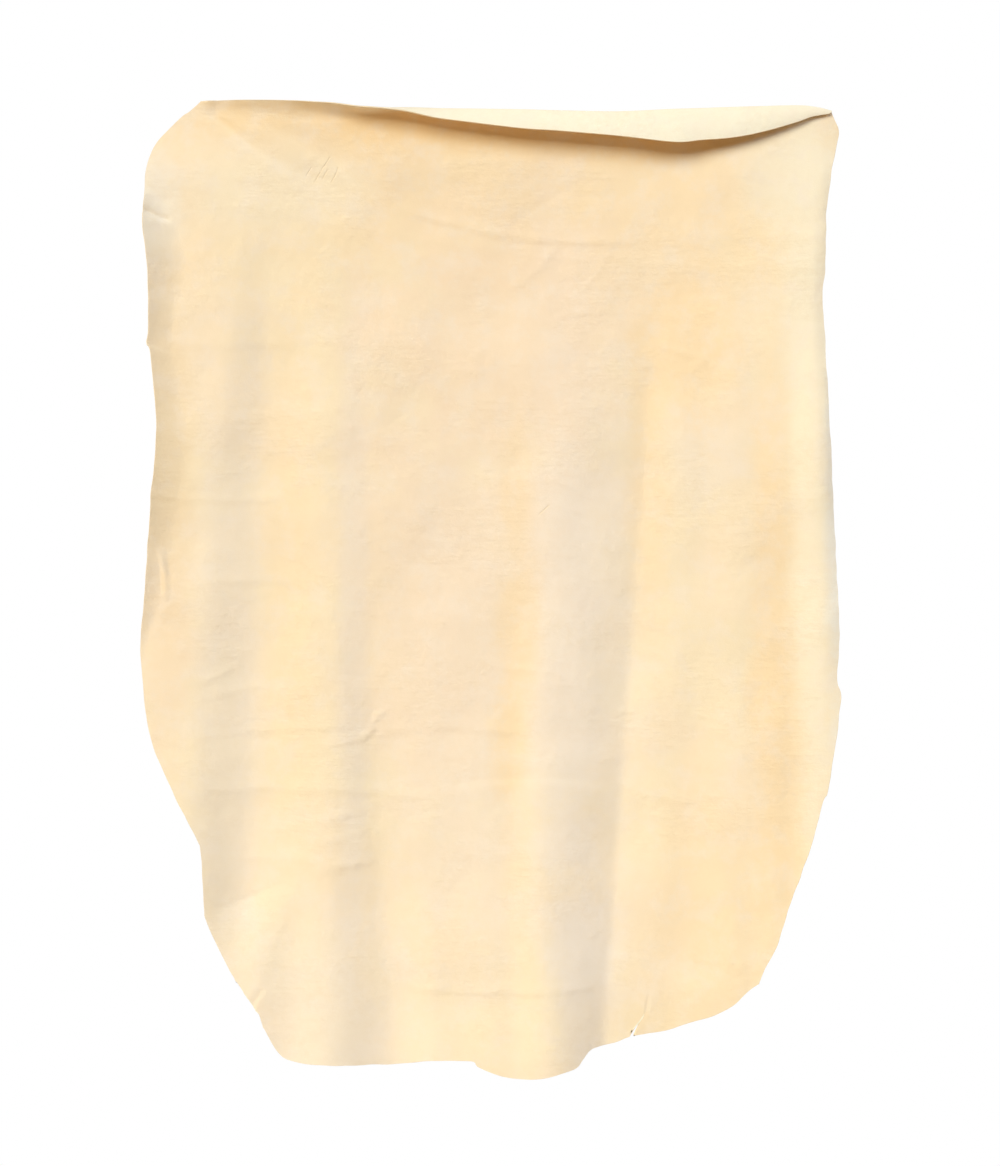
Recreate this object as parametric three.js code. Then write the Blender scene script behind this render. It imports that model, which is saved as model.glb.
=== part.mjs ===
// Chamois leather: one whole skin hung by its two upper corners. Its top edge is turned forward over
// the hanging line, a flat band runs below it to a slanting packing crease, and the rest of the skin
// falls from that crease in soft folds. Front is -Y, up is +Z, the hanging line is at height 0.
import * as THREE from "three";

// Leather
const skinThickness = 1.5;
const foldEdgeThickness = 0.16; // leather left at the very edge beside a fold line
const foldEdgeGap = 0.48; // from a fold line to that edge
const foldThinning = 3.7; // from a fold line to the full thickness

// Main sizes: between the two held corners, and from the hanging line down to the lowest point
const hangWidth = 555.5;
const skinDrop = 839.5;

// Slanting crease, straight from one side of the skin to the other. Here and in the next lists the
// first number is how far out from the upper corner of that side, the second is the height.
const creaseLeftEnd = [38, -54];
const creaseRightEnd = [-6, -137];

// Cut edge from each held corner past the crease, measured from that corner
const leftShoulder = [[6, -5], [18, -16], [27.5, -26.5], [33.5, -38]];
const rightShoulder = [[2.5, -6], [6, -15], [5, -27], [1.5, -47], [-2, -70], [-4.5, -100]];
const leftUpperSide = [[40, -78], [40, -100], [35, -140], [34.5, -190], [32, -214], [28, -276]];
const rightUpperSide = [[-8, -161], [-6.5, -195], [-3.5, -255]];

// Cut edge of the lower half: out from the upper corner, and up from the lowest point of the skin
const leftLowerSide = [
  [41.5, 377.5], [39.5, 329.5], [33, 292.5], [17, 251.5], [-4.5, 209.5], [-10, 196.5],
  [-12.5, 149.5], [-15, 136.5], [-32.5, 95.5], [-54.5, 64.5],
];
const rightLowerSide = [
  [6, 376.5], [4, 350.5], [7.5, 333.5], [5, 316.5], [-2.5, 253.5], [-7.5, 240.5], [-18.5, 199.5],
  [-33.5, 158.5], [-46.5, 116.5], [-57, 95.5],
];
const hemLeftEnd = [-63, 46.5];
const hemRightEnd = [-63, 83];
const leftHem = [[-76.5, 25.5], [-90.5, 16.5], [-124, 12]];
const rightHem = [[-139.5, 42], [-125.5, 47], [-97.5, 56.5], [-84, 64.5], [-70.5, 77.5]];

// Middle of the hem: across from the middle of the hanging line, and up from the lowest point
const middleHem = [
  [-97, 12.5], [-70, 16], [-35, 16.5], [-28, 11.5], [-7, 4], [14, 0.5], [34, 3], [55, 9.5],
  [62, 17], [69, 26], [76, 28],
];

// Turned top edge: place in from the left or right corner, and length of leather past the line
const flapFromLeft = [[11, 9.5], [35, 10], [66, 9.5], [122, 9], [153, 13], [186, 15], [222, 21]];
const flapFromRight = [
  [184.5, 33.5], [137.5, 39], [113.5, 36], [88.5, 33.5], [62.5, 28], [29.5, 17], [7.5, 8],
];

// Its angle at the same places, from hanging straight down: 90 stands out to the front, 180 upright
const flapLeftDegrees = [150, 150, 148, 128, 95, 74, 54];
const flapRightDegrees = [38, 35, 34, 34, 35, 38, 44];

// Heights at which the folds are given: two drops below the hanging line and one rise above the
// lowest point
const foldsHighDrop = 182;
const foldsMiddleDrop = 425;
const foldsLowRise = 39.5;
const foldGrowth = 150; // drop below the crease in which the folds reach their depth

// Ridges and valleys, left to right. Each has its place across, from the middle of the hanging line,
// and its forward depth, at those three heights.
const beyondLeft = [[-344, 3], [-344, 3.5], [-344, 5]];
const firstRidge = [[-245, 5], [-269, 7], [-286, 11]];
const firstValley = [[-208, 0], [-222, 0], [-240, -2]];
const secondRidge = [[-148, 5.5], [-152, 6.5], [-159, 9]];
const secondValley = [[-125, 4], [-118, 3], [-102, -4.5]];
const leftOfMiddle = [[-61, 3.5], [-61, 3], [-61, 3]];
const rightOfMiddle = [[-5, 3.5], [-5, 4], [-5, 5.5]];
const thirdRidge = [[60, 5.5], [37, 8], [28, 9]];
const thirdValley = [[125, 0.5], [106, -2], [74, -6.5]];
const shallowSlope = [[164, 3.5], [155, 4], [129, -3]];
const fourthRidge = [[203, 6.5], [203, 8.5], [203, 4]];
const fourthValley = [[238, 8], [238, 9], [233, 6]];
const fifthRidge = [[261, 12.5], [270, 13], [277, 10]];
const beyondRight = [[316, -6], [316, 4], [316, 10]];
const folds = [
  beyondLeft, firstRidge, firstValley, secondRidge, secondValley, leftOfMiddle, rightOfMiddle,
  thirdRidge, thirdValley, shallowSlope, fourthRidge, fourthValley, fifthRidge, beyondRight,
];
const pinchedFolds = [secondValley, thirdValley]; // the others are round

// Left edge, curled forward beside the first ridge: height, and how far the curl reaches in there
const curlWidths = [
  [-60, 6], [-130, 36], [-185, 44], [-240, 40], [-310, 30], [-380, 24], [-440, 13], [-490, 2],
];
const curlRiseRatio = 0.3; // forward rise of the curl over its width

// Facets
const flapColumns = 28;
const bandColumns = 22;
const bandRows = 3;
const fallRows = 17;
const fallColumnsAt = [
  0, 0.022, 0.045, 0.075, 0.105, 0.14, 0.175, 0.21, 0.245, 0.275, 0.3, 0.322, 0.35, 0.4, 0.45, 0.5,
  0.54, 0.57, 0.595, 0.625, 0.655, 0.682, 0.7, 0.72, 0.76, 0.81, 0.855, 0.89, 0.925, 0.955, 0.98, 1,
];

const clamp = THREE.MathUtils.clamp;
const lerp = THREE.MathUtils.lerp;
const smoothstep = THREE.MathUtils.smoothstep;
const evenSteps = (count) => Array.from({ length: count + 1 }, (_, i) => i / count);

// A cut edge as a smooth curve through its points, in the plane of the skin (x, z).
function cutEdge(...points) {
  return new THREE.SplineCurve(points.map(([x, z]) => new THREE.Vector2(x, z)));
}

// Corners of the skin, and places measured from them.
const halfHang = hangWidth / 2;
const hangLeft = [-halfHang, 0];
const hangRight = [halfHang, 0];
const onLeft = ([out, height]) => [-halfHang - out, height];
const onRight = ([out, height]) => [halfHang + out, height];
const lifted = ([x, rise]) => [x, rise - skinDrop];
const onLeftLow = (place) => lifted(onLeft(place));
const onRightLow = (place) => lifted(onRight(place));
const creaseLeft = onLeft(creaseLeftEnd);
const creaseRight = onRight(creaseRightEnd);
const hemLeft = onLeftLow(hemLeftEnd);
const hemRight = onRightLow(hemRightEnd);

// Height of the crease line at x, and how far a point lies below it, square to the line.
const creaseSlope = (creaseRight[1] - creaseLeft[1]) / (creaseRight[0] - creaseLeft[0]);
const creaseHeight = (x) => creaseLeft[1] + (x - creaseLeft[0]) * creaseSlope;
const belowCrease = (p) => (creaseHeight(p.x) - p.y) / Math.hypot(1, creaseSlope);
const belowHanging = (p) => -p.y;

// Largest share, from 0 to 1, at which a test that starts true still holds, found by halving.
function lastShare(holds) {
  const halvings = 40;
  let low = 0;
  let high = 1;
  for (let i = 0; i < halvings; i += 1) {
    const mid = (low + high) / 2;
    if (holds(mid)) low = mid;
    else high = mid;
  }
  return low;
}

// Share of a curve's length at which a measured distance, growing along it, reaches a value.
function shareWhere(curve, measure, wanted) {
  return lastShare((share) => measure(curve.getPointAt(share)) < wanted);
}

// Place and depth of one ridge or valley at height z: the parabola through its three places.
const foldHeights = [-foldsHighDrop, -foldsMiddleDrop, foldsLowRise - skinDrop];
function foldLine(fold, z) {
  const weights = foldHeights.map((here) => {
    const others = foldHeights.filter((height) => height !== here);
    return others.reduce((product, there) => (product * (z - there)) / (here - there), 1);
  });
  const along = (k) => fold.reduce((sum, place, i) => sum + place[k] * weights[i], 0);
  return { x: along(0), depth: along(1), pinched: pinchedFolds.includes(fold) };
}

// Forward depth of the fall at (x, z): eased from each ridge or valley to the next one.
function foldDepth(x, z) {
  const lines = folds.map((fold) => foldLine(fold, z));
  const after = clamp(lines.findIndex((line) => line.x > x), 1, lines.length - 1);
  const from = lines[after - 1];
  const to = lines[after];
  const t = clamp((x - from.x) / (to.x - from.x), 0, 1);
  let eased = smoothstep(t, 0, 1);
  if (from.pinched) eased = 1 - (1 - t) * (1 - t);
  else if (to.pinched) eased = t * t;
  return lerp(from.depth, to.depth, eased);
}

// Forward depth of the curled left edge at (x, z), for a side edge standing at edgeX.
function curlAt(x, z, edgeX) {
  const below = curlWidths.findIndex(([height]) => height < z);
  if (below < 1) return 0;
  const [topHeight, topWidth] = curlWidths[below - 1];
  const [height, lowWidth] = curlWidths[below];
  const width = lerp(topWidth, lowWidth, (topHeight - z) / (topHeight - height));
  const reach = clamp(1 - (x - edgeX) / width, 0, 1);
  return curlRiseRatio * width * reach * reach;
}

// Middle of the leather at a point of the hanging skin, as a 3-D point.
function hungPoint(p, edgeX) {
  const grown = smoothstep(belowCrease(p), 0, foldGrowth);
  const forward = foldDepth(p.x, p.y) * grown + curlAt(p.x, p.y, edgeX);
  return new THREE.Vector3(p.x, -forward, p.y);
}

// Closed sheet of leather about a grid of middle points. Row 0 is the first row of columns;
// half holds half the thickness of each row.
function leatherSheet(grid, half) {
  const rows = grid.length;
  const columns = grid[0].length;
  const at = (r, c) => grid[clamp(r, 0, rows - 1)][clamp(c, 0, columns - 1)];
  const positions = [];
  const front = [];
  const back = [];
  for (let r = 0; r < rows; r += 1) {
    front.push([]);
    back.push([]);
    for (let c = 0; c < columns; c += 1) {
      const across = at(r, c + 1).clone().sub(at(r, c - 1));
      const down = at(r + 1, c).clone().sub(at(r - 1, c));
      const normal = down.cross(across).normalize().multiplyScalar(half[r]);
      front[r].push(positions.length);
      positions.push(grid[r][c].clone().add(normal));
      back[r].push(positions.length);
      positions.push(grid[r][c].clone().sub(normal));
    }
  }
  const faces = [];
  const quad = (a, b, c, d) => faces.push(a, b, c, a, c, d);
  for (let r = 0; r + 1 < rows; r += 1) {
    for (let c = 0; c + 1 < columns; c += 1) {
      quad(front[r][c], front[r + 1][c], front[r + 1][c + 1], front[r][c + 1]);
      quad(back[r][c], back[r][c + 1], back[r + 1][c + 1], back[r + 1][c]);
    }
  }
  for (let c = 0; c + 1 < columns; c += 1) {
    const last = rows - 1;
    quad(front[0][c], front[0][c + 1], back[0][c + 1], back[0][c]);
    quad(front[last][c + 1], front[last][c], back[last][c], back[last][c + 1]);
  }
  for (let r = 0; r + 1 < rows; r += 1) {
    const last = columns - 1;
    quad(front[r + 1][0], front[r][0], back[r][0], back[r + 1][0]);
    quad(front[r][last], front[r + 1][last], back[r + 1][last], back[r][last]);
  }
  const geometry = new THREE.BufferGeometry();
  const flat = positions.flatMap((p) => [p.x, p.y, p.z]);
  geometry.setAttribute("position", new THREE.Float32BufferAttribute(flat, 3));
  geometry.setIndex(faces);
  geometry.computeVertexNormals();
  return geometry;
}

const halfFull = skinThickness / 2;
const halfAtFold = foldEdgeThickness / 2;

// The turned top edge: straight rulings from the hanging line, leaning less and less to the right.
function topFlap() {
  const places = [
    ...flapFromLeft.map(([inward]) => -halfHang + inward),
    ...flapFromRight.map(([inward]) => halfHang - inward),
  ];
  const spline = (values) => new THREE.SplineCurve(places.map((x, i) => new THREE.Vector2(x, values[i])));
  const lengths = spline([...flapFromLeft, ...flapFromRight].map(([, length]) => length));
  const degrees = spline([...flapLeftDegrees, ...flapRightDegrees]);
  const rulings = evenSteps(flapColumns).map((across) => {
    const x = lerp(places[0], places[places.length - 1], across);
    const share = lastShare((tried) => lengths.getPoint(tried).x < x);
    const lean = THREE.MathUtils.degToRad(degrees.getPoint(share).y);
    return { x, length: lengths.getPoint(share).y, out: -Math.sin(lean), up: -Math.cos(lean) };
  });
  const reach = (share) => rulings.map(({ x, length, out, up }) => {
    const d = lerp(foldThinning, length, share);
    return new THREE.Vector3(x, out * d, up * d);
  });
  const edge = rulings.map(({ x, out, up }) => (
    new THREE.Vector3(x, out * foldEdgeGap, up * foldEdgeGap)
  ));
  const grid = [edge, reach(0), reach(1 / 2), reach(1)];
  return leatherSheet(grid.reverse(), [halfFull, halfFull, halfFull, halfAtFold]);
}

// The flat band between the hanging line and the crease.
function upperBand() {
  const left = cutEdge(hangLeft, ...leftShoulder.map(onLeft), creaseLeft);
  const right = cutEdge(hangRight, ...rightShoulder.map(onRight), creaseRight);
  const line = (measure, distance) => {
    const a = left.getPointAt(shareWhere(left, measure, distance));
    const b = right.getPointAt(shareWhere(right, measure, distance));
    return { a, b };
  };
  const lines = [line(belowHanging, foldEdgeGap)];
  const first = {
    left: shareWhere(left, belowHanging, foldThinning),
    right: shareWhere(right, belowHanging, foldThinning),
  };
  const last = {
    left: shareWhere(left, belowCrease, -foldThinning),
    right: shareWhere(right, belowCrease, -foldThinning),
  };
  for (const share of evenSteps(bandRows)) {
    lines.push({
      a: left.getPointAt(lerp(first.left, last.left, share)),
      b: right.getPointAt(lerp(first.right, last.right, share)),
    });
  }
  lines.push(line(belowCrease, -foldEdgeGap));
  const grid = lines.map(({ a, b }) => evenSteps(bandColumns).map((share) => (
    new THREE.Vector3(lerp(a.x, b.x, share), 0, lerp(a.y, b.y, share))
  )));
  const half = grid.map((_, r) => (r === 0 || r === grid.length - 1 ? halfAtFold : halfFull));
  return leatherSheet(grid, half);
}

// The fall: a patch between the crease, the two sides and the hem, carrying the folds.
function mainFall() {
  const left = cutEdge(
    creaseLeft, ...leftUpperSide.map(onLeft), ...leftLowerSide.map(onLeftLow), hemLeft,
  );
  const right = cutEdge(
    creaseRight, ...rightUpperSide.map(onRight), ...rightLowerSide.map(onRightLow), hemRight,
  );
  const bottom = cutEdge(
    hemLeft, ...leftHem.map(onLeftLow), ...middleHem.map(lifted), ...rightHem.map(onRightLow), hemRight,
  );
  const startLeft = shareWhere(left, belowCrease, foldThinning);
  const startRight = shareWhere(right, belowCrease, foldThinning);

  // Point of the patch at a share of the way across and a share of the way down.
  const patch = (across, down) => {
    const a = left.getPointAt(lerp(startLeft, 1, down));
    const b = right.getPointAt(lerp(startRight, 1, down));
    const straightHem = bottom.getPointAt(0).lerp(bottom.getPointAt(1), across);
    const bulge = bottom.getPointAt(across).sub(straightHem).multiplyScalar(down);
    return a.lerp(b, across).add(bulge);
  };

  // Columns slide along each row so that one of them follows each pinched fold.
  const crossing = (fold, down) => lastShare((across) => {
    const p = patch(across, down);
    return p.x < foldLine(fold, p.y).x;
  });
  const nearestColumn = (share) => fallColumnsAt.reduce((best, column) => (
    Math.abs(column - share) < Math.abs(best - share) ? column : best
  ));
  const even = [0, ...pinchedFolds.map((fold) => nearestColumn(crossing(fold, 1 / 2))), 1];
  const columns = (down) => {
    const slid = [0, ...pinchedFolds.map((fold) => crossing(fold, down)), 1];
    return fallColumnsAt.map((share) => {
      const i = clamp(even.findIndex((stop) => stop >= share), 1, even.length - 1);
      return lerp(slid[i - 1], slid[i], (share - even[i - 1]) / (even[i] - even[i - 1]));
    });
  };

  const edgeLeft = left.getPointAt(shareWhere(left, belowCrease, foldEdgeGap));
  const edgeRight = right.getPointAt(shareWhere(right, belowCrease, foldEdgeGap));
  const edge = columns(0).map((across) => edgeLeft.clone().lerp(edgeRight, across));
  const rows = evenSteps(fallRows).map((down) => columns(down).map((across) => patch(across, down)));
  const grid = [edge, ...rows].map((row) => row.map((p) => hungPoint(p, row[0].x)));
  const half = grid.map((_, r) => (r === 0 ? halfAtFold : halfFull));
  return leatherSheet(grid, half);
}

const leather = new THREE.MeshStandardMaterial({ color: 0xf6e0bd, roughness: 0.95, metalness: 0 });

function piece(name, geometry) {
  const mesh = new THREE.Mesh(geometry, leather);
  mesh.name = name;
  return mesh;
}

const chamois = new THREE.Group();
chamois.name = "chamois_leather";
chamois.add(
  piece("upper_band", upperBand()),
  piece("top_flap", topFlap()),
  piece("main_fall", mainFall()),
);

export default chamois;
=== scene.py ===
import math
import bpy
import numpy as np
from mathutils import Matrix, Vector


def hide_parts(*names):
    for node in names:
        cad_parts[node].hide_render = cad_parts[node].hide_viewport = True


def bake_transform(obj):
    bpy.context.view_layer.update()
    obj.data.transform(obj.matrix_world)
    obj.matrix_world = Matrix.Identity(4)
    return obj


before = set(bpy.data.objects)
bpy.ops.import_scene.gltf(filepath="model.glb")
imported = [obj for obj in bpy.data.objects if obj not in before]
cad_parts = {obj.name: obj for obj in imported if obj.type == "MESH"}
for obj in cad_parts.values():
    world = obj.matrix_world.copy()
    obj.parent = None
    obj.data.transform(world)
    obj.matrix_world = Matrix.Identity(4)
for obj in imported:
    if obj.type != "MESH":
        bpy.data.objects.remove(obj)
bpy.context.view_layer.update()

mm = 0.001

# Chamois leather: one skin, hung by its two upper corners. Its shape is worked out in millimetres in
# the frame of the part: x to the right, y to the back, z up, height 0 at the hanging line.


def smoothstep(value, low, high):
    t = np.clip((value - low) / (high - low), 0, 1)
    return t * t * (3 - 2 * t)


# smooth curve through points, finely stepped
def smoothCurve(points, steps=24):
    p = np.array(points, float)
    padded = np.vstack([2 * p[0] - p[1], p, 2 * p[-1] - p[-2]])
    t = np.linspace(0, 1, steps, endpoint=False)[:, None]
    pieces = []
    for a, b, c, d in zip(padded, padded[1:], padded[2:], padded[3:]):
        pieces.append(
            b + t * (c - a) / 2
            + t ** 2 * (2 * a - 5 * b + 4 * c - d) / 2
            + t ** 3 * (3 * b - a - 3 * c + d) / 2
        )
    return np.vstack(pieces + [p[-1:]])


def lengthAlong(path):
    steps = np.linalg.norm(np.diff(path, axis=0), axis=1)
    return np.concatenate([[0], np.cumsum(steps)])


def atShares(path, shares):
    length = lengthAlong(path)
    wanted = np.asarray(shares) * length[-1]
    return np.stack([np.interp(wanted, length, path[:, i]) for i in range(path.shape[1])], -1)


# random swell of about unit height, from plane waves between two wave lengths
def swell(x, z, shortest, longest, seed, waves=26):
    rng = np.random.RandomState(seed)
    total = np.zeros_like(x)
    for _ in range(waves):
        turn = 2 * math.pi / rng.uniform(shortest, longest)
        heading = rng.uniform(0, 2 * math.pi)
        phase = rng.uniform(0, 2 * math.pi)
        total += np.sin(turn * (x * math.cos(heading) + z * math.sin(heading)) + phase)
    return total * math.sqrt(2 / waves)


skinCut = {
    "thickness": 1.5,
    "edgeRounding": 0.3,  # how far the cut edge swells out
    "edgeWander": 0.2,  # unevenness of the cut
    "wanderWaves": (14, 45),  # its shortest and longest wave
    "wanderFade": 20,  # it dies away this near to a corner
    "wanderSeeds": {"left": 21, "right": 22, "hem": 23},
    "hangLeft": (-285.5, 0),
    "hangRight": (271.5, 0),
    "creaseLeft": (-322, -54),
    "creaseRight": (264.6, -136.9),
    "hemLeft": (-219.5, -793),
    "hemRight": (208.5, -756.5),
    "leftShoulder": [(-291.5, -4), (-303, -15.8), (-312.3, -26.4), (-318, -38)],
    "rightShoulder": [(274, -6), (277.5, -15), (276.5, -27), (272, -47), (268.6, -70), (265.8, -100)],
    "leftSide": [
        (-323, -78), (-323.5, -100), (-319, -140), (-318.5, -190), (-320, -203), (-316.5, -214),
        (-311, -278), (-316.5, -346), (-320.5, -407), (-325.5, -462), (-322, -510),
        (-315.5, -547), (-297.5, -589), (-276.8, -630), (-272.5, -643), (-270.3, -690), (-268, -703),
        (-248.8, -744), (-226.5, -775),
    ],
    "rightSide": [
        (262, -161), (263.7, -195), (266.2, -255), (270.4, -338), (275, -421), (276.5, -463),
        (274.5, -489), (275, -497), (278, -506), (276.3, -523), (267.5, -586), (262.5, -599),
        (251.5, -640), (237, -681), (224, -723), (213.5, -744),
    ],
    "hem": [
        (-207.5, -814), (-193.5, -823), (-160, -826), (-130, -827), (-103.5, -827), (-76, -823.5),
        (-41, -823), (-34, -828), (-13, -835.5), (8, -838), (28, -835.3), (48.5, -830),
        (56, -822.5), (63, -815), (71, -812.3), (85, -809.5), (97, -804.3), (111, -801.8), (132, -797.5),
        (146, -792.5), (174, -783), (187.5, -775), (201, -762),
    ],
    "slitAt": 0.739,  # share of the way along the hem
    "slitLength": 19,
    "slitWidth": 4,
    "slitSlant": 10,  # its top lies this far to the right
    "slitFrom": 0.9,  # share of the way down where its column starts to draw up
    "slitBend": (0.84, 0.97),  # shares of the way down where the columns beside it lean
    "slitReach": 11,  # columns that lean with it
}


# a cut edge with the slight unevenness of the knife
def cutEdge(points, seed):
    path = smoothCurve(points)
    along = lengthAlong(path)
    side = np.gradient(path, axis=0)
    side = np.stack([-side[:, 1], side[:, 0]], -1) / np.linalg.norm(side, axis=1, keepdims=True)
    fade = skinCut["wanderFade"]
    ends = smoothstep(along, 0, fade) * smoothstep(along[-1] - along, 0, fade)
    off = skinCut["edgeWander"] * swell(along, along * 0, *skinCut["wanderWaves"], seed) * ends
    return path + side * off[:, None]


creaseSlope = (skinCut["creaseRight"][1] - skinCut["creaseLeft"][1]) / (
    skinCut["creaseRight"][0] - skinCut["creaseLeft"][0])


def belowCrease(x, z):
    height = skinCut["creaseLeft"][1] + (x - skinCut["creaseLeft"][0]) * creaseSlope
    return (height - z) / math.hypot(1, creaseSlope)


skinFolds = {
    # each ridge or valley: place at three heights, forward depth there, pinched or round
    "heights": (-180, -425, -800),
    "growth": 150,  # drop below the crease in which the folds reach their depth
    "lines": [
        ((-350, -350, -350), (3, 3.5, 8), False),
        ((-251, -275, -290), (5, 7.6, 16), False),
        ((-214, -224, -234), (0, 0, -5), False),
        ((-154, -158, -165), (4.6, 6.3, 9), False),
        ((-131, -124, -108), (4, 3, -4), False),
        ((-67, -67, -67), (3.5, 3, 3), False),
        ((-11, -11, -11), (3.5, 4, 5.5), False),
        ((54, 31, 22), (5.5, 8, 10.4), False),
        ((119, 101, 75), (0.5, -2, -7.6), True),
        ((158, 149, 123), (3.5, 4, -7.4), False),
        ((197, 197, 197), (6.5, 8.5, 0.5), False),
        ((232, 232, 227), (9, 10, 4.5), False),
        ((255, 264, 271), (13.6, 15, 11), False),
        ((310, 310, 310), (3, 12, 11), False),
    ],
    "pinch": 0.8,  # how straight the leather runs into a pinched valley
    "softening": 3,  # passes that round the pinched valleys
}


# value at height z of a smooth run through its values at the three fold heights
def atHeight(values, z):
    return np.polyval(np.polyfit(skinFolds["heights"], values, 2), z)


# round at a ridge, straight into a pinched valley
def intoPinch(t):
    return (1 + skinFolds["pinch"]) * t ** 2 - skinFolds["pinch"] * t ** 3


# forward depth of the main folds: eased from each ridge or valley to the next
def foldDepth(x, z):
    lines = [(atHeight(xs, z), atHeight(depths, z), pinched)
             for xs, depths, pinched in skinFolds["lines"]]
    depth = np.zeros_like(x)
    for (xa, da, pinchedA), (xb, db, pinchedB) in zip(lines, lines[1:]):
        t = np.clip((x - xa) / (xb - xa), 0, 1)
        eased = t * t * (3 - 2 * t)
        if pinchedA:
            eased = 1 - intoPinch(1 - t)
        elif pinchedB:
            eased = intoPinch(t)
        depth = np.where((x >= xa) & (x < xb), da + (db - da) * eased, depth)
    return depth


leftCurl = {
    # height and width of the strip of the left edge that curls forward
    "widths": [
        (-64, 2), (-80, 16), (-98, 28), (-125, 33), (-155, 27), (-195, 20), (-245, 24), (-310, 26),
        (-380, 20), (-440, 11), (-490, 2),
    ],
    "slope": 0.3,
}

rightCurl = {
    # height and width of the strip of the right edge that turns back
    "widths": [(-40, 1), (-62, 10), (-130, 11), (-300, 12), (-480, 11), (-508, 1)],
    "slope": -0.1,
}

curlForm = {
    "least": 1,  # width at which there is no curl
    "full": 12,  # and from which it is full
    "power": 1.6,
}


# a side edge that curls forward, or turns back, over a strip of changing width
def curlDepth(curl, fromEdge, z):
    heights, widths = np.array(curl["widths"][::-1], float).T
    width = np.interp(z, heights, widths, left=curlForm["least"], right=curlForm["least"])
    reach = np.clip(1 - fromEdge / width, 0, 1)
    grown = smoothstep(width, curlForm["least"], curlForm["full"])
    return curl["slope"] * width * reach ** curlForm["power"] * grown


lowerLobe = {
    # the lower left corner swings forward below a slanting crease
    "creaseFrom": (-271, -697.5),
    "creaseTo": (-223, -678.5),
    "fade": (-228, -170),
    "reach": 140,
    "power": 3,  # how soon the fold is let go
    "depth": 9,
}


# below the slanting crease the fold is let go and the corner swings forward
def letGo(x, z, depth):
    (xa, za), (xb, zb) = lowerLobe["creaseFrom"], lowerLobe["creaseTo"]
    length = math.hypot(xb - xa, zb - za)
    below = ((x - xa) * (zb - za) - (z - za) * (xb - xa)) / length
    share = 1 - (1 - np.clip(below / lowerLobe["reach"], 0, 1)) ** lowerLobe["power"]
    share = share * (1 - smoothstep(x, *lowerLobe["fade"]))
    return depth + (lowerLobe["depth"] - depth) * share


# packing creases, wrinkles and pulls: x and z of both ends, forward height, width, share of the
# length over which each end dies away
creaseLines = [
    (-102, -85, 100, -114, 0.72, 4.5, 0.15),
    (-322, -54, 265, -137, 0.26, 6, 0.1),
    (-310, -205, -150, -199, 0.24, 4.5, 0.3),
    (-318, -333, -205, -337, 0.59, 4.2, 0.3),
    (-275, -412, -195, -410, 0.45, 4.5, 0.3),
    (-270, -510, -215, -500, 0.52, 4, 0.4),
    (-275, -542, -150, -534, 0.45, 4, 0.4),
    (-165, -549, -128, -541, 0.59, 4, 0.4),
    (-115, -540, 0, -541, 0.59, 5, 0.3),
    (-266, -589, -90, -595, 0.52, 4.5, 0.3),
    (-80, -588, 75, -583, -0.59, 5.5, 0.3),
    (88, -583, 152, -599, 0.59, 4.5, 0.3),
    (-180, -618, -128, -606, 0.52, 4, 0.4),
    (-170, -634, -135, -626, 0.45, 4, 0.4),
    (-256, -650, -140, -657, 0.39, 4.5, 0.3),
    (-175, -662, -128, -652, 0.59, 4, 0.4),
    (-102, -757, -5, -760, 0.65, 4.5, 0.3),
    (-15, -762, 74, -757, 0.65, 4.5, 0.3),
    (-6, -156, 33, -121, 0.45, 3.6, 0.4),
    (119, -204, 163, -217, 0.52, 3.6, 0.4),
    (163, -217, 150, -224, 0.52, 3.6, 0.4),
    (-30, -478, 18, -486, 0.45, 3.6, 0.4),
    (-271, -496, -240, -481, 0.5, 3, 0.5),
    (-134, -546, -122, -534, 0.6, 2.8, 0.6),
    (-128, -534, -113, -519, 0.6, 2.8, 0.6),
    (-276, 4, -236, -30, -1, 3.4, 0.4),
    (-268, 0, -180, -58, -1.3, 7.5, 0.7),
    (-240, -6, -160, -44, -0.9, 9, 0.7),
    (-230, -778, -196, -676, 1.3, 14, 0.6),
    (-325, -87, -302, -96, -2.2, 2.3, 0.25),
    (-308.5, -384, -304.5, -423, 1.5, 2.4, 0.3),
    (-229, -778, -220, -760, -1.3, 2.6, 0.2),
]

creaseForm = {
    "bow": 0.05,  # no crease is quite straight
    "waver": 0.4,
    "waverLength": 11,
    "underLine": 0.7,  # steeper under the line than above it
    "overLine": 1.3,
    "uneven": 0.15,
    "unevenLength": 7,
}


def lineDepth(x, z, line):
    xa, za, xb, zb, height, width, fade = line
    length = math.hypot(xb - xa, zb - za)
    ux, uz = (xb - xa) / length, (zb - za) / length
    along = (x - xa) * ux + (z - za) * uz
    bow = creaseForm["bow"] * length * math.sin(xa + za)
    middle = np.clip(along / length, 0, 1)
    waver = creaseForm["waver"] * np.sin(along / creaseForm["waverLength"])
    off = (z - za) * ux - (x - xa) * uz + 4 * bow * middle * (1 - middle) + waver
    reach = fade * length
    ends = smoothstep(along, -reach / 2, reach / 2) * smoothstep(length - along, -reach / 2, reach / 2)
    below = np.where(off < 0, creaseForm["underLine"], creaseForm["overLine"])
    share = creaseForm["uneven"]
    uneven = 1 - share + share * np.sin(along / creaseForm["unevenLength"] + za)
    return height * ends * uneven * np.exp(-(off / (width * below)) ** 2)


ripples = {
    # shortest and longest wave, height, seed
    "waves": [(70, 160, 0.5, 3), (26, 60, 0.14, 5), (8, 17, 0.035, 8)],
    "settle": (5, 60),  # drop below the hanging line in which they reach their height
    "wrinkles": 46,
    "wrinkleAcross": (-290, 250),
    "wrinkleDown": (-790, -60),
    "wrinkleTurn": 0.5,
    "wrinkleFade": 0.4,
    "wrinkleLength": (18, 60),
    "wrinkleHeight": (0.08, 0.3),
    "wrinkleWidth": (2.6, 4.2),
    "seed": 12,
}


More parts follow.
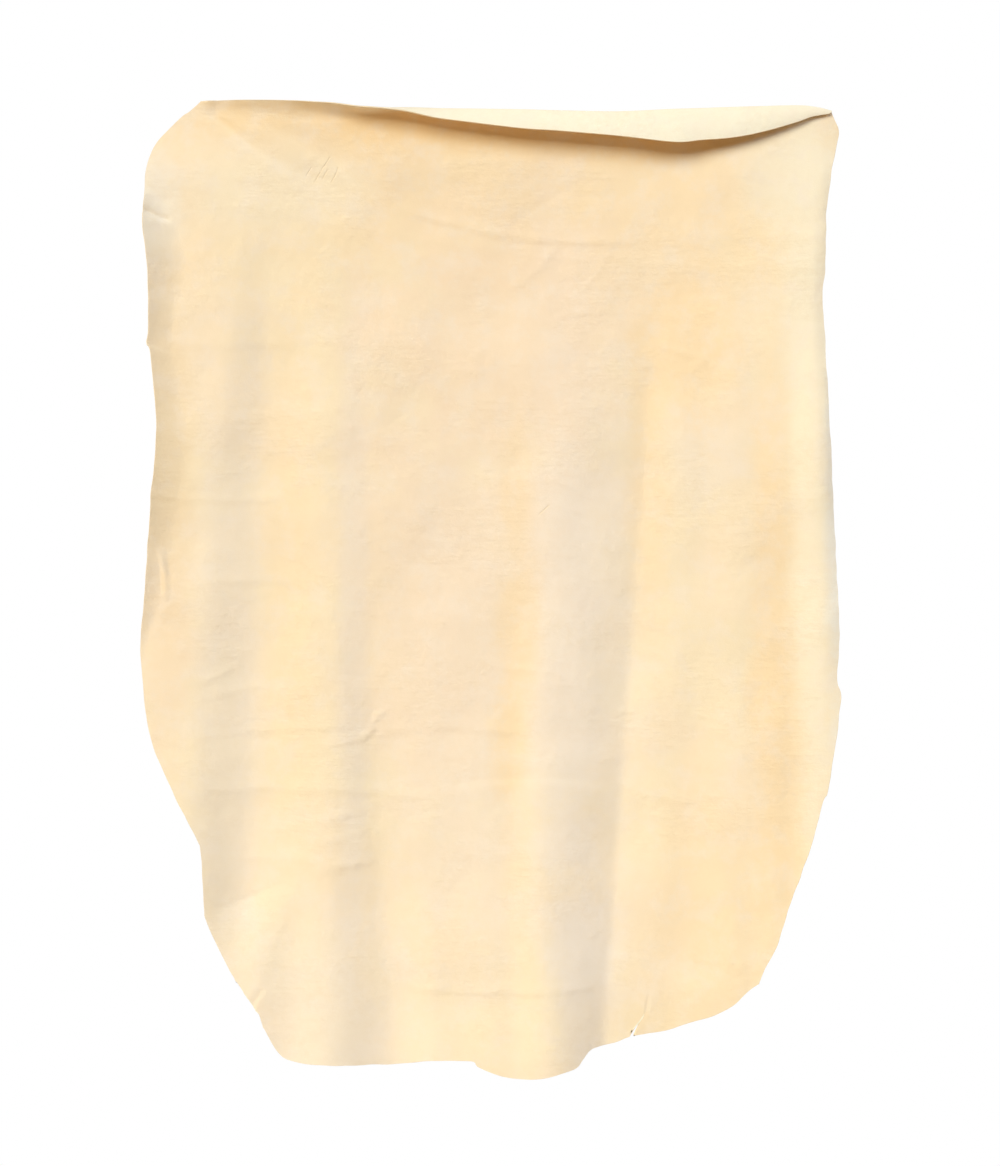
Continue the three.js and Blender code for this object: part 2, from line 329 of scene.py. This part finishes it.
def randomWrinkles():
    rng = np.random.RandomState(ripples["seed"])
    lines = []
    for _ in range(ripples["wrinkles"]):
        x = rng.uniform(*ripples["wrinkleAcross"])
        z = rng.uniform(*ripples["wrinkleDown"])
        length = rng.uniform(*ripples["wrinkleLength"])
        heading = rng.normal(0, ripples["wrinkleTurn"])
        dx, dz = length * math.cos(heading), length * math.sin(heading)
        height = rng.uniform(*ripples["wrinkleHeight"]) * rng.choice([-1, 1])
        width = rng.uniform(*ripples["wrinkleWidth"])
        lines.append((x, z, x + dx, z + dz, height, width, ripples["wrinkleFade"]))
    return lines


# below the hanging line the middle of the skin sags back a little
sag = {
    "middle": -40,
    "halfWidth": 190,
    "depth": 2.5,
    "down": (0, 75),
    "backUp": (110, 330),
}

# the taut band turns towards the left at both ends
bandEnds = {
    # places along the band and how far forward it stands there
    "right": [(60, 0), (110, 1.2), (150, 3.6), (200, 7), (230, 9.4), (256, 11.4), (264, 11.2), (276, 8)],
    "rightDown": (5, 110),
    "rightFade": (60, 330),
    "left": (-325, -190),
    "leftFade": (0, 72),
    "leftDepth": 8,
}


# how far forward the leather hangs of its plane
def forward(x, z):
    under = belowCrease(x, z)
    depth = foldDepth(x, z) * smoothstep(under, 0, skinFolds["growth"])
    for _ in range(skinFolds["softening"]):
        depth[:, 1:-1] = (depth[:, :-2] + 2 * depth[:, 1:-1] + depth[:, 2:]) / 4
    sagging = smoothstep(-z, *sag["down"]) * (1 - smoothstep(-z, *sag["backUp"]))
    depth -= sag["depth"] * sagging * np.exp(-((x - sag["middle"]) / sag["halfWidth"]) ** 2)
    places, depths = np.array(bandEnds["right"], float).T
    start, full = bandEnds["rightDown"]
    ended = np.clip((-z - start) / (full - start), 0, 1) * (1 - smoothstep(under, *bandEnds["rightFade"]))
    depth += np.interp(x, places, depths) * ended
    ended = (1 - smoothstep(x, *bandEnds["left"])) * (1 - smoothstep(-z, *bandEnds["leftFade"]))
    depth -= bandEnds["leftDepth"] * ended
    depth = letGo(x, z, depth) + curlDepth(leftCurl, x - x[:, :1], z)
    depth += curlDepth(rightCurl, x[:, -1:] - x, z)
    for line in creaseLines + randomWrinkles():
        depth += lineDepth(x, z, line)
    settled = smoothstep(-z, *ripples["settle"])
    for shortest, longest, height, seed in ripples["waves"]:
        depth += height * swell(x, z, shortest, longest, seed) * settled
    reach = turnedEdge["leanReach"]
    lean = math.tan(math.radians(turnedEdge["bandLean"])) * reach / 2
    return depth + lean * np.clip(1 + z / reach, 0, 1) ** 2 * smoothstep(x, *turnedEdge["leanFrom"])


grid = {
    "columns": 330,
    "fineAt": (0.235, 0.07),  # middle and half width of a stretch of closer columns
    "fineTimes": 2.2,
    "measuredAt": 2000,  # places at which their spacing is measured
    "flapRows": 14,
    "bendRows": 12,
    "bandRows": 40,
    "fallRows": 400,
    "seamRow": 20,  # of the band: the upper and lower pieces of the skin meet there
    "seamAt": -115,  # and the two upper pieces here on the hanging line
    "chartCorner": (350, 860),  # keeps the flat chart of the skin above zero
    "middle": 6.25,  # from the middle of the hanging line back to where x is measured from
}


# columns across the skin, close where the turned edge runs out and beside the slit in the hem
def columnShares(hemWidth):
    even = np.linspace(0, 1, grid["measuredAt"])
    middle, half = grid["fineAt"]
    run = np.cumsum(1 + grid["fineTimes"] * np.exp(-((even - middle) / half) ** 2))
    across = np.interp(np.linspace(run[0], run[-1], grid["columns"]), run, even)
    slit = int(np.argmin(abs(across - skinCut["slitAt"])))
    across[slit - 1] = across[slit] - skinCut["slitWidth"] / 2 / hemWidth
    across[slit + 1] = across[slit] + skinCut["slitWidth"] / 2 / hemWidth
    return across, slit


# places in the hanging plane (x, z), from the hanging line down to the hem
def hangingPlaces():
    seeds = skinCut["wanderSeeds"]
    left = cutEdge([skinCut["hangLeft"], *skinCut["leftShoulder"], skinCut["creaseLeft"],
                    *skinCut["leftSide"], skinCut["hemLeft"]], seeds["left"])
    right = cutEdge([skinCut["hangRight"], *skinCut["rightShoulder"], skinCut["creaseRight"],
                     *skinCut["rightSide"], skinCut["hemRight"]], seeds["right"])
    hem = cutEdge([skinCut["hemLeft"], *skinCut["hem"], skinCut["hemRight"]], seeds["hem"])
    across, slit = columnShares(lengthAlong(hem)[-1])
    bandShares = np.linspace(0, 1, grid["bandRows"] + 1)
    fallShares = np.linspace(0, 1, grid["fallRows"] + 1)[1:]
    sides = []
    for side in (left, right):
        length = lengthAlong(side)
        crease = np.interp(0, belowCrease(side[:, 0], side[:, 1]), length) / length[-1]
        shares = np.concatenate([bandShares * crease, crease + fallShares * (1 - crease)])
        sides.append(atShares(side, shares))
    places = sides[0][:, None] + (sides[1] - sides[0])[:, None] * across[None, :, None]
    down = np.concatenate([np.zeros(grid["bandRows"] + 1), fallShares])
    chord = hem[0] + (hem[-1] - hem[0]) * across[:, None]
    places += (atShares(hem, across) - chord)[None] * down[:, None, None]
    near = np.exp(-((np.arange(grid["columns"]) - slit) / skinCut["slitReach"]) ** 2)
    bendFrom, bendFull = skinCut["slitBend"]
    bent = smoothstep(down, bendFrom, bendFull) * (1 - smoothstep(down, bendFull, 1))
    short = smoothstep(down, skinCut["slitFrom"], 1)
    places[:, :, 0] += skinCut["slitSlant"] * bent[:, None] * near
    places[:, slit, 1] += skinCut["slitLength"] * short  # one column stops short
    places[:, slit, 0] += skinCut["slitSlant"] * (short - bent).clip(0)
    return places


turnedEdge = {
    # place on the hanging line, place of the cut edge, height of the crest, length of the turned
    # leather, its angle from hanging straight down, and the radius of the bend
    "stations": [
        (-284, -274.5, 8.2, 9.2, 165, 30),
        (-266, -263, 8.4, 11, 158, 30),
        (-235, -232, 8, 14, 150, 30),
        (-197, -196, 6.6, 17, 142, 28),
        (-162, -162, 4, 17, 124, 17),
        (-131, -131, -0.3, 14, 94, 8),
        (-98, -98, 0.9, 12.4, 64, 4.5),
        (-80, -80, 0.8, 13.3, 50, 3.5),
        (-62, -62, 0.4, 14.1, 41, 3),
        (-3, -3, -0.2, 20.1, 31, 2.3),
        (37, 37, -1.2, 21.9, 29, 2.3),
        (87, 87, -2, 25.2, 26, 2.3),
        (134, 134, 0, 31.7, 20, 2.3),
        (158, 158, 0.7, 29.5, 17, 2.2),
        (183, 183, 1.6, 27.6, 14, 1.9),
        (209, 208, 2.4, 23.1, 11, 1.5),
        (242, 239, 3.2, 14.5, 8, 1.1),
        (258, 254, 1.8, 7.4, 7, 0.95),
        (271.5, 269, -1.3, 1.5, 7, 0.9),
    ],
    "firmAngle": 40,  # turned right over
    "slackAngle": 140,  # only leaning
    "leastBend": 3,
    "leastLength": 1.5,  # past the bend
    "startLift": 16,  # degrees by which it leaves the bend above its mean angle
    "endDroop": 12,  # degrees by which it ends below it
    "bandLean": 9,  # degrees by which the leather below leans forward
    "leanReach": 30,  # how far down
    "leanFrom": (-235, -120),  # it begins and is full, from the left
}


# rows of the bend and the turned edge past it, from the hanging line outward
def turnedRows(x):
    table = smoothCurve(turnedEdge["stations"])
    edgeX, crest, length, lean, radius = (np.interp(x, table[:, 0], table[:, i]) for i in range(1, 6))
    span = turnedEdge["slackAngle"] - turnedEdge["firmAngle"]
    firm = np.clip((turnedEdge["slackAngle"] - lean) / span, 0, 1)
    start = np.radians(180 - turnedEdge["bandLean"] * firm)
    leave = np.radians(lean + turnedEdge["startLift"] * firm)
    end = np.radians(lean - turnedEdge["endDroop"] * firm)
    bend = np.maximum(radius * (start - leave), turnedEdge["leastBend"])
    rest = np.maximum(length - bend * (1 - firm), turnedEdge["leastLength"])
    fine = 8  # small steps to a row
    bendSteps, flapSteps = grid["bendRows"] * fine, grid["flapRows"] * fine
    t = ((np.arange(bendSteps) + 0.5) / bendSteps)[:, None]
    u = ((np.arange(flapSteps) + 0.5) / flapSteps)[:, None]
    angle = np.vstack([start + (leave - start) * t * t * (3 - 2 * t), leave + (end - leave) * u])
    step = np.vstack([bend / bendSteps + 0 * t, rest / flapSteps + 0 * u])
    out, up, gone = (np.cumsum(value, 0)[fine - 1::fine]
                     for value in (np.sin(angle) * step, -np.cos(angle) * step, step))
    top = crest - up.max(0) - skinCut["thickness"] / 2 * firm
    past = np.clip((gone - bend * firm) / (rest + bend * (1 - firm)), 0, 1)
    return x + (edgeX - x) * past, out, top + up, top + gone, top


# middle of the leather on a grid, from the turned cut edge (row 0) down to the hem, and the same
# places on the flat skin
def skinGrid():
    places = hangingPlaces()
    flapX, out, flapZ, flapChart, top = turnedRows(places[0, :, 0])
    ease = np.zeros(len(places))
    ease[:grid["bandRows"] + 1] = np.linspace(1, 0, grid["bandRows"] + 1) ** 2
    places[:, :, 1] += (top - places[0, :, 1])[None] * ease[:, None]
    x, z = places[:, :, 0], places[:, :, 1]
    y = -forward(x, z)
    flap = np.stack([flapX, y[0] - out, flapZ], -1)[::-1]
    points = np.concatenate([flap, np.stack([x, y, z], -1)])
    points[:, :, 0] += grid["middle"]
    chart = np.concatenate([np.stack([flapX, flapChart], -1)[::-1], places])
    return points, chart + np.array(grid["chartCorner"])


def gridNormals(points):
    normals = np.cross(np.gradient(points, axis=0), np.gradient(points, axis=1))
    return normals / np.linalg.norm(normals, axis=-1, keepdims=True)


def unit(vectors):
    return vectors / np.maximum(np.linalg.norm(vectors, axis=-1, keepdims=True), 1e-9)


# closed sheet of leather about part of the grid of middle points; its cut edges (top, bottom, left,
# right) are rounded; front, back and cut edge take finishes 0, 1 and 2
def leatherPiece(name, part, cut, finishes):
    points, normals, chart = (layer[part] for layer in skin)
    rows, columns = points.shape[:2]
    count = rows * columns
    half = skinCut["thickness"] / 2
    index = np.arange(count).reshape(rows, columns)
    loop = np.concatenate([index[0], index[1:-1, -1], index[-1, ::-1], index[1:-1, 0][::-1]])
    outward = np.zeros_like(points)
    top, bottom, left, right = cut
    outward[0] += top * unit(points[0] - points[1])
    outward[-1] += bottom * unit(points[-1] - points[-2])
    outward[:, 0] += left * unit(points[:, 0] - points[:, 1])
    outward[:, -1] += right * unit(points[:, -1] - points[:, -2])
    outward = unit(outward.reshape(-1, 3)[loop])
    rim = points.reshape(-1, 3)[loop] + outward * skinCut["edgeRounding"]
    faced = [(points + normals * half).reshape(-1, 3), (points - normals * half).reshape(-1, 3)]
    verts = np.vstack([*faced, rim])
    facing = np.vstack([normals.reshape(-1, 3), -normals.reshape(-1, 3), outward])
    a, b, c, d = index[:-1, :-1], index[1:, :-1], index[1:, 1:], index[:-1, 1:]
    front = np.stack([a, b, c, d], -1).reshape(-1, 4)
    back = np.stack([a, d, c, b], -1).reshape(-1, 4) + count
    following = np.roll(loop, -1)
    rimHere = 2 * count + np.arange(len(loop))
    rimNext = np.roll(rimHere, -1)
    edge = np.vstack([
        np.stack([loop, following, rimNext, rimHere], 1),
        np.stack([rimHere, rimNext, following + count, loop + count], 1)])
    faces = np.vstack([front, back, edge])
    slots = np.repeat([0, 1, 2], [len(front), len(back), len(edge)])

    mesh = bpy.data.meshes.new(name)
    mesh.from_pydata((verts * mm).tolist(), [], faces.tolist())
    mesh.polygons.foreach_set("material_index", slots.astype(np.int32))
    mesh.polygons.foreach_set("use_smooth", np.ones(len(faces), bool))
    flat = chart.reshape(-1, 2)
    flat = np.vstack([flat, flat, flat[loop]]) * mm
    corners = np.empty(len(mesh.loops), np.int32)
    mesh.loops.foreach_get("vertex_index", corners)
    mesh.uv_layers.new(name="flat").data.foreach_set("uv", flat[corners].astype(np.float32).ravel())
    for finish in finishes:
        mesh.materials.append(finish)
    mesh.update()
    mesh.normals_split_custom_set_from_vertices(unit(facing).tolist())
    piece = bpy.data.objects.new(name, mesh)
    bpy.context.scene.collection.objects.link(piece)
    return piece


# a shader socket that can stand in sums and products
class Tone:
    def __init__(self, recipe, socket):
        self.recipe = recipe
        self.socket = socket

    def combine(self, operation, first, second):
        return self.recipe.node("ShaderNodeMath", {"operation": operation}, {0: first, 1: second})

    def __add__(self, other):
        return self.combine("ADD", self, other)

    def __radd__(self, other):
        return self.combine("ADD", other, self)

    def __sub__(self, other):
        return self.combine("SUBTRACT", self, other)

    def __rsub__(self, other):
        return self.combine("SUBTRACT", other, self)

    def __mul__(self, other):
        return self.combine("MULTIPLY", self, other)

    def __rmul__(self, other):
        return self.combine("MULTIPLY", other, self)


# the nodes of one material or world
class Recipe:
    def __init__(self, owner):
        owner.use_nodes = True
        self.tree = owner.node_tree
        self.tree.nodes.clear()

    # any node: its type, its settings, then the values or links of its sockets
    def node(self, kind, settings, values, output=0):
        node = self.tree.nodes.new(kind)
        for key, value in settings.items():
            setattr(node, key, value)
        for key, value in values.items():
            if isinstance(value, Tone):
                self.tree.links.new(value.socket, node.inputs[key])
            else:
                node.inputs[key].default_value = value
        return Tone(self, node.outputs[output]) if node.outputs else None

    def mix(self, share, first, second):
        return self.node("ShaderNodeMix", {"data_type": "RGBA"}, {0: share, 6: first, 7: second}, 2)

    def noise(self, place, scale, detail, roughness):
        return self.node("ShaderNodeTexNoise", {"noise_dimensions": "2D"}, {
            "Vector": place, "Scale": scale, "Detail": detail, "Roughness": roughness})

    def ease(self, value, low, high):
        return self.node("ShaderNodeMapRange", {"interpolation_type": "SMOOTHSTEP"}, {
            "Value": value, "From Min": low, "From Max": high, "To Min": 0, "To Max": 1})


leatherTones = {
    "straw": (0.96, 0.81, 0.575, 1),
    "peach": (0.965, 0.8, 0.585, 1),
    "ash": (0.945, 0.83, 0.705, 1),
    "rose": (0.955, 0.76, 0.56, 1),
    "cream": (0.965, 0.865, 0.67, 1),
    # pale bluish tone of the painted shade on the turned side edges
    "paintedShadePearl": (0.93, 0.885, 0.79, 1),
    # colour of the painted shade under the turned edge
    "paintedShadeOchre": (0.95, 0.69, 0.37, 1),
    "chalk": (0.97, 0.885, 0.7, 1),
    "amber": (0.975, 0.755, 0.475, 1),
    "tan": (0.89, 0.71, 0.47, 1),
    "flesh": (0.975, 0.908, 0.725, 1),
    "cutEdge": (0.86, 0.68, 0.44, 1),
    # name, main tone, second tone, depth of the relief, tinted and scratched
    "finishes": [
        ("suede face", "straw", "peach", 0.4, True),
        ("suede back", "flesh", "chalk", 0.6, False),
        ("cut edge", "cutEdge", "straw", 0.4, False),
    ],
    # scale, detail and roughness of each pattern
    "patterns": {
        "broad": (9, 3, 0.5),
        "cloud": (38, 5, 0.65),
        "mottle": (120, 4, 0.7),
        "pebble": (240, 3, 0.6),
        "worn": (13, 4, 0.6),
        "streaks": (170, 3, 0.6),
        "nap": (900, 3, 0.6),
        "ragged": (17, 6, 0.68),
    },
    # where each pattern starts to show and shows in full
    "shows": {
        "broad": (0.35, 0.65),
        "cloud": (0.42, 0.72),
        "mottle": (0.35, 0.75),
        "worn": (0.42, 0.62),
        "nap": (0.45, 0.8),
    },
    "streakStretch": (0.2, 1, 0),
    "relief": {"streaks": 1.6, "mottle": 0.5, "nap": 0.3},
    "colouring": {"cloud": 0.35, "mottle": 0.08, "worn": 0.1, "nap": 0.12},
    "bump": 0.6,
    "roughness": (0.84, 0.12),  # least, and what the nap adds
    "specular": 0.15,
    "sheen": 0.12,
    "sheenRoughness": 0.6,
    "sheenTint": (1, 0.95, 0.85, 1),
    # tints on the skin: tone, middle and half size on the flat skin, strength; some are the skin's own
    # colour, others are painted shade or painted light, as noted
    "tints": [
        # partly the band's own amber colour, partly painted warm shade under the turned edge
        ("amber", (0, -70), (330, 95), 0.64),
        # painted shade: deep orange strip along the top of the band, where the turned edge shades it
        ("paintedShadeOchre", (60, -12), (270, 27), 0.85),
        ("ash", (-40, -480), (70, 210), 0.6),
        # painted shade, the next three lines: grey-blue on the shaded right-hand flanks of folds
        ("ash", (-142, -450), (13, 260), 0.6),
        ("ash", (38, -430), (30, 310), 0.8),
        ("ash", (-250, -520), (32, 260), 0.45),
        ("ash", (-170, -790), (90, 90), 0.5),
        # painted shade, the next two lines: grey-blue on the shaded right-hand flank of a fold, near the
        # hem and higher up
        ("ash", (62, -760), (26, 90), 0.9),
        ("ash", (72, -450), (34, 240), 0.5),
        ("ash", (158, -290), (36, 46), 0.5),
        ("rose", (-8, -190), (125, 120), 0.7),
        ("rose", (-60, -430), (90, 200), 0.5),
        ("rose", (-305, -460), (24, 110), 0.6),
        # painted light: paler cream on the lit left-hand flank of the rightmost fold
        ("cream", (252, -300), (26, 400), 0.8),
        # painted shade: pale bluish strip along the right edge, where it turns back from the key light
        ("paintedShadePearl", (275, -290), (10, 250), 0.95),
        ("cream", (235, -50), (45, 45), 0.7),
        ("cream", (-220, -70), (80, 42), 0.55),
        # painted shade: pale bluish patch on the upper left edge, where it curls forward out of the light
        ("paintedShadePearl", (-316, -85), (26, 45), 0.55),
        ("amber", (-2, -330), (14, 55), 0.5),
        ("amber", (2, -450), (18, 60), 0.65),
        ("amber", (-8, -545), (16, 45), 0.8),
        ("amber", (-4, -640), (14, 60), 0.25),
        # painted light, the next two lines: warm yellow on the lit left-hand flanks of folds
        ("amber", (150, -210), (44, 70), 0.8),
        ("amber", (112, -330), (18, 120), 0.5),
        ("amber", (219, -420), (18, 200), 0.8),
        ("amber", (225, -600), (24, 150), 0.85),
        ("amber", (165, -690), (50, 110), 0.5),
        # painted light: warm yellow on the lit left-hand flank of a fold
        ("amber", (-198, -410), (24, 230), 0.35),
        # painted shade: darker tan strip over the forward curl of the left edge
        ("tan", (-304, -300), (22, 150), 0.7),
        ("tan", (130, -790), (80, 35), 0.45),
    ],
    "ragged": 1.5,  # how far the tints' borders stray
    "tintBorder": (0.35, 1.5),  # from full to none, in shares of the half size
    # fine scratches: x and z of both ends on the flat skin
    "scratches": [
        (-184, -58, -178, -49),
        (-177, -64, -166, -46),
        (-170, -61, -164, -51),
        (-168, -50, -162, -40),
        (-162, -64, -157, -55),
        (-158, -57, -155, -49),
        (17.5, -352, 28, -342),
    ],
    "scratchWidth": 1,
    "scratchEnd": 0.6,  # share of the half length where it starts to fade
    "scratchShare": 0.5,
}


# soft ragged patch on the flat skin: 1 in its middle, 0 outside
def patch(recipe, place, ragged, middle, half):
    x, z = grid["chartCorner"]
    offset = recipe.node("ShaderNodeVectorMath", {"operation": "SUBTRACT"}, {
        0: place, 1: ((middle[0] + x) * mm, (middle[1] + z) * mm, 0)})
    scaled = recipe.node("ShaderNodeVectorMath", {"operation": "MULTIPLY"}, {
        0: offset, 1: (1 / (half[0] * mm), 1 / (half[1] * mm), 0)})
    away = recipe.node("ShaderNodeVectorMath", {"operation": "LENGTH"}, {0: scaled}, 1)
    return 1 - recipe.ease(away + ragged, *leatherTones["tintBorder"])


# fine line on the flat skin: 1 along it, 0 away from it
def scratch(recipe, place, xa, za, xb, zb):
    x, z = grid["chartCorner"]
    length = math.hypot(xb - xa, zb - za)
    ux, uz = (xb - xa) / length, (zb - za) / length
    offset = recipe.node("ShaderNodeVectorMath", {"operation": "SUBTRACT"}, {
        0: place, 1: ((xa + x) * mm, (za + z) * mm, 0)})
    along, across = (
        recipe.node("ShaderNodeVectorMath", {"operation": "DOT_PRODUCT"}, {0: offset, 1: way}, 1)
        for way in ((ux, uz, 0), (-uz, ux, 0)))
    off = recipe.node("ShaderNodeMath", {"operation": "ABSOLUTE"}, {0: across})
    half = length / 2
    past = recipe.node("ShaderNodeMath", {"operation": "ABSOLUTE"}, {0: along - half * mm})
    thin = 1 - recipe.ease(off, 0, leatherTones["scratchWidth"] * mm)
    return thin * (1 - recipe.ease(past, half * leatherTones["scratchEnd"] * mm, half * mm))


def leatherFinish(name, main, second, depth, marked):
    material = bpy.data.materials.new(name)
    recipe = Recipe(material)
    patterns, shows = leatherTones["patterns"], leatherTones["shows"]
    reliefShares, colourShares = leatherTones["relief"], leatherTones["colouring"]
    place = recipe.node("ShaderNodeUVMap", {"uv_map": "flat"}, {})
    broad = recipe.ease(recipe.noise(place, *patterns["broad"]), *shows["broad"])
    cloud = recipe.ease(recipe.noise(place, *patterns["cloud"]), *shows["cloud"])
    mottle = recipe.noise(place, *patterns["mottle"])
    pebble = recipe.noise(place, *patterns["pebble"])
    worn = recipe.ease(recipe.noise(place, *patterns["worn"]), *shows["worn"])
    level = recipe.node("ShaderNodeVectorMath", {"operation": "MULTIPLY"}, {
        0: place, 1: leatherTones["streakStretch"]})
    streaks = recipe.noise(level, *patterns["streaks"])
    nap = recipe.noise(place, *patterns["nap"])
    colour = recipe.mix(broad, leatherTones[main], leatherTones[second])
    relief = (pebble + streaks * reliefShares["streaks"]) * worn
    relief = relief + mottle * reliefShares["mottle"] + nap * reliefShares["nap"]
    if marked:
        ragged = (recipe.noise(place, *patterns["ragged"]) - 0.5) * leatherTones["ragged"]
        # besides the skin's own colour, these tints paint shade and light on the folds, edges and under
        # the turned edge
        for tone, middle, half, strength in leatherTones["tints"]:
            share = patch(recipe, place, ragged, middle, half) * strength
            colour = recipe.mix(share, colour, leatherTones[tone])
        for ends in leatherTones["scratches"]:
            line = scratch(recipe, place, *ends)
            colour = recipe.mix(line * leatherTones["scratchShare"], colour, leatherTones["tan"])
            relief = relief - line
    colour = recipe.mix(cloud * colourShares["cloud"], colour, leatherTones["ash"])
    mottled = recipe.ease(mottle, *shows["mottle"])
    mottled = mottled * (colourShares["mottle"] + worn * colourShares["worn"])
    colour = recipe.mix(mottled, colour, leatherTones["cutEdge"])
    napped = recipe.ease(nap, *shows["nap"]) * colourShares["nap"]
    colour = recipe.mix(napped, colour, leatherTones["cutEdge"])
    bump = recipe.node("ShaderNodeBump", {}, {
        "Strength": leatherTones["bump"], "Distance": depth * mm, "Height": relief})
    leastRough, napRough = leatherTones["roughness"]
    shader = recipe.node("ShaderNodeBsdfPrincipled", {}, {
        "Base Color": colour, "Roughness": leastRough + nap * napRough, "Normal": bump,
        "Specular IOR Level": leatherTones["specular"], "Sheen Weight": leatherTones["sheen"],
        "Sheen Roughness": leatherTones["sheenRoughness"], "Sheen Tint": leatherTones["sheenTint"]})
    recipe.node("ShaderNodeOutputMaterial", {}, {"Surface": shader})
    return material


finishes = [leatherFinish(*how) for how in leatherTones["finishes"]]
print("finishes made")

points, chart = skinGrid()
skin = (points, gridNormals(points), chart)
hangRow = grid["flapRows"] + grid["bendRows"]
seamRow = hangRow + grid["seamRow"]
seamColumn = int(np.argmin(abs(points[hangRow, :, 0] - grid["middle"] - grid["seamAt"])))
aboveSeam, belowSeam = slice(None, seamRow + 1), slice(seamRow, None)
toCorner, fromCorner = slice(None, seamColumn + 1), slice(seamColumn, None)
cornerSkin = leatherPiece("corner_skin", (aboveSeam, toCorner), (1, 0, 1, 0), finishes)
upperSkin = leatherPiece("upper_skin", (aboveSeam, fromCorner), (1, 0, 0, 1), finishes)
hungSkin = leatherPiece("hung_skin", (belowSeam,), (0, 1, 1, 1), finishes)

bends = {
    # in metres
    "flapFrom": -0.0024,  # forward of here the turned edge starts to move
    "flapReach": 0.00203,  # and this much further on it moves as a whole
    "flapTilt": 0.12,  # and higher up it moves a little sooner
    "cornerRunOut": 0.1,  # towards the left corner its motion dies away
    "creaseMiddle": (-0.022, 0, -0.0955),
    "creaseHalf": 0.024,  # the skin bends this far to each side of the crease
}
for piece, runOut in ((upperSkin, 0), (cornerSkin, bends["cornerRunOut"])):
    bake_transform(piece)
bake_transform(hungSkin)
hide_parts("top_flap", "upper_band")
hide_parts("top_flap", "upper_band")
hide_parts("main_fall")

studio = {
    # in metres
    "camera": (-0.009, -2.0, -0.4099),
    "lens": 71.3,
    "floorHeight": -1.4,
    "floorCorners": [(-1.4, -1.4), (1.4, -1.4), (1.4, 1.4), (-1.4, 1.4)],
    "floorColour": (0.84, 0.79, 0.7, 1),
    "floorRoughness": 0.8,
    "ambient": 0.22,
    "ambientColour": (1, 0.51, 0.09, 1),
    # place, what it faces, width and height, power, colour, spread in degrees
    "lamps": {
        "key": ((-10.2, -14, 10.8), (0, 0, -0.41), (8, 10.8), 4060, (1, 1, 0.9), 180),
        "side": ((4.6, -4.6, 4), (0, 0, -0.41), (3, 3), 220, (0.3, 0.62, 1), 180),
        "rear": ((2.6, 3, 0.5), (0, 0, -0.41), (1.6, 1.6), 15, (1, 0.98, 0.95), 50),
    },
}

scene = bpy.context.scene
scene.view_settings.view_transform = "Standard"

camera = bpy.data.objects.new("camera", bpy.data.cameras.new("camera"))
camera.data.lens = studio["lens"]
camera.location = studio["camera"]
camera.rotation_euler = (math.radians(90), 0, 0)  # level
scene.collection.objects.link(camera)
scene.camera = camera

floorMesh = bpy.data.meshes.new("floor")
floorMesh.from_pydata(
    [(x, y, studio["floorHeight"]) for x, y in studio["floorCorners"]], [], [(0, 1, 2, 3)])
floorFinish = bpy.data.materials.new("pale floor")
floorRecipe = Recipe(floorFinish)
floorShader = floorRecipe.node("ShaderNodeBsdfPrincipled", {}, {
    "Base Color": studio["floorColour"], "Roughness": studio["floorRoughness"]})
floorRecipe.node("ShaderNodeOutputMaterial", {}, {"Surface": floorShader})
floorMesh.materials.append(floorFinish)
floor = bpy.data.objects.new("floor", floorMesh)
scene.collection.objects.link(floor)

for name, (place, aim, size, power, colour, spread) in studio["lamps"].items():
    light = bpy.data.lights.new(name, "AREA")
    light.shape = "RECTANGLE"
    light.size, light.size_y = size
    light.energy = power
    light.spread = math.radians(spread)
    light.color = colour
    lamp = bpy.data.objects.new(name, light)
    lamp.location = place
    lamp.rotation_euler = (Vector(aim) - Vector(place)).to_track_quat("-Z", "Y").to_euler()
    scene.collection.objects.link(lamp)

world = bpy.data.worlds.new("studio")
scene.world = world
recipe = Recipe(world)
ray = recipe.node("ShaderNodeLightPath", {}, {}).socket.node.outputs
seen = Tone(recipe, ray["Is Camera Ray"]) + Tone(recipe, ray["Is Glossy Ray"])
seen = seen + Tone(recipe, ray["Is Transmission Ray"])
dim = recipe.node("ShaderNodeBackground", {}, {
    "Color": studio["ambientColour"], "Strength": studio["ambient"]})
white = recipe.node("ShaderNodeBackground", {}, {"Color": (1, 1, 1, 1), "Strength": 1})
surround = recipe.node("ShaderNodeMixShader", {}, {0: seen, 1: dim, 2: white})
recipe.node("ShaderNodeOutputWorld", {}, {"Surface": surround})
print("studio set")
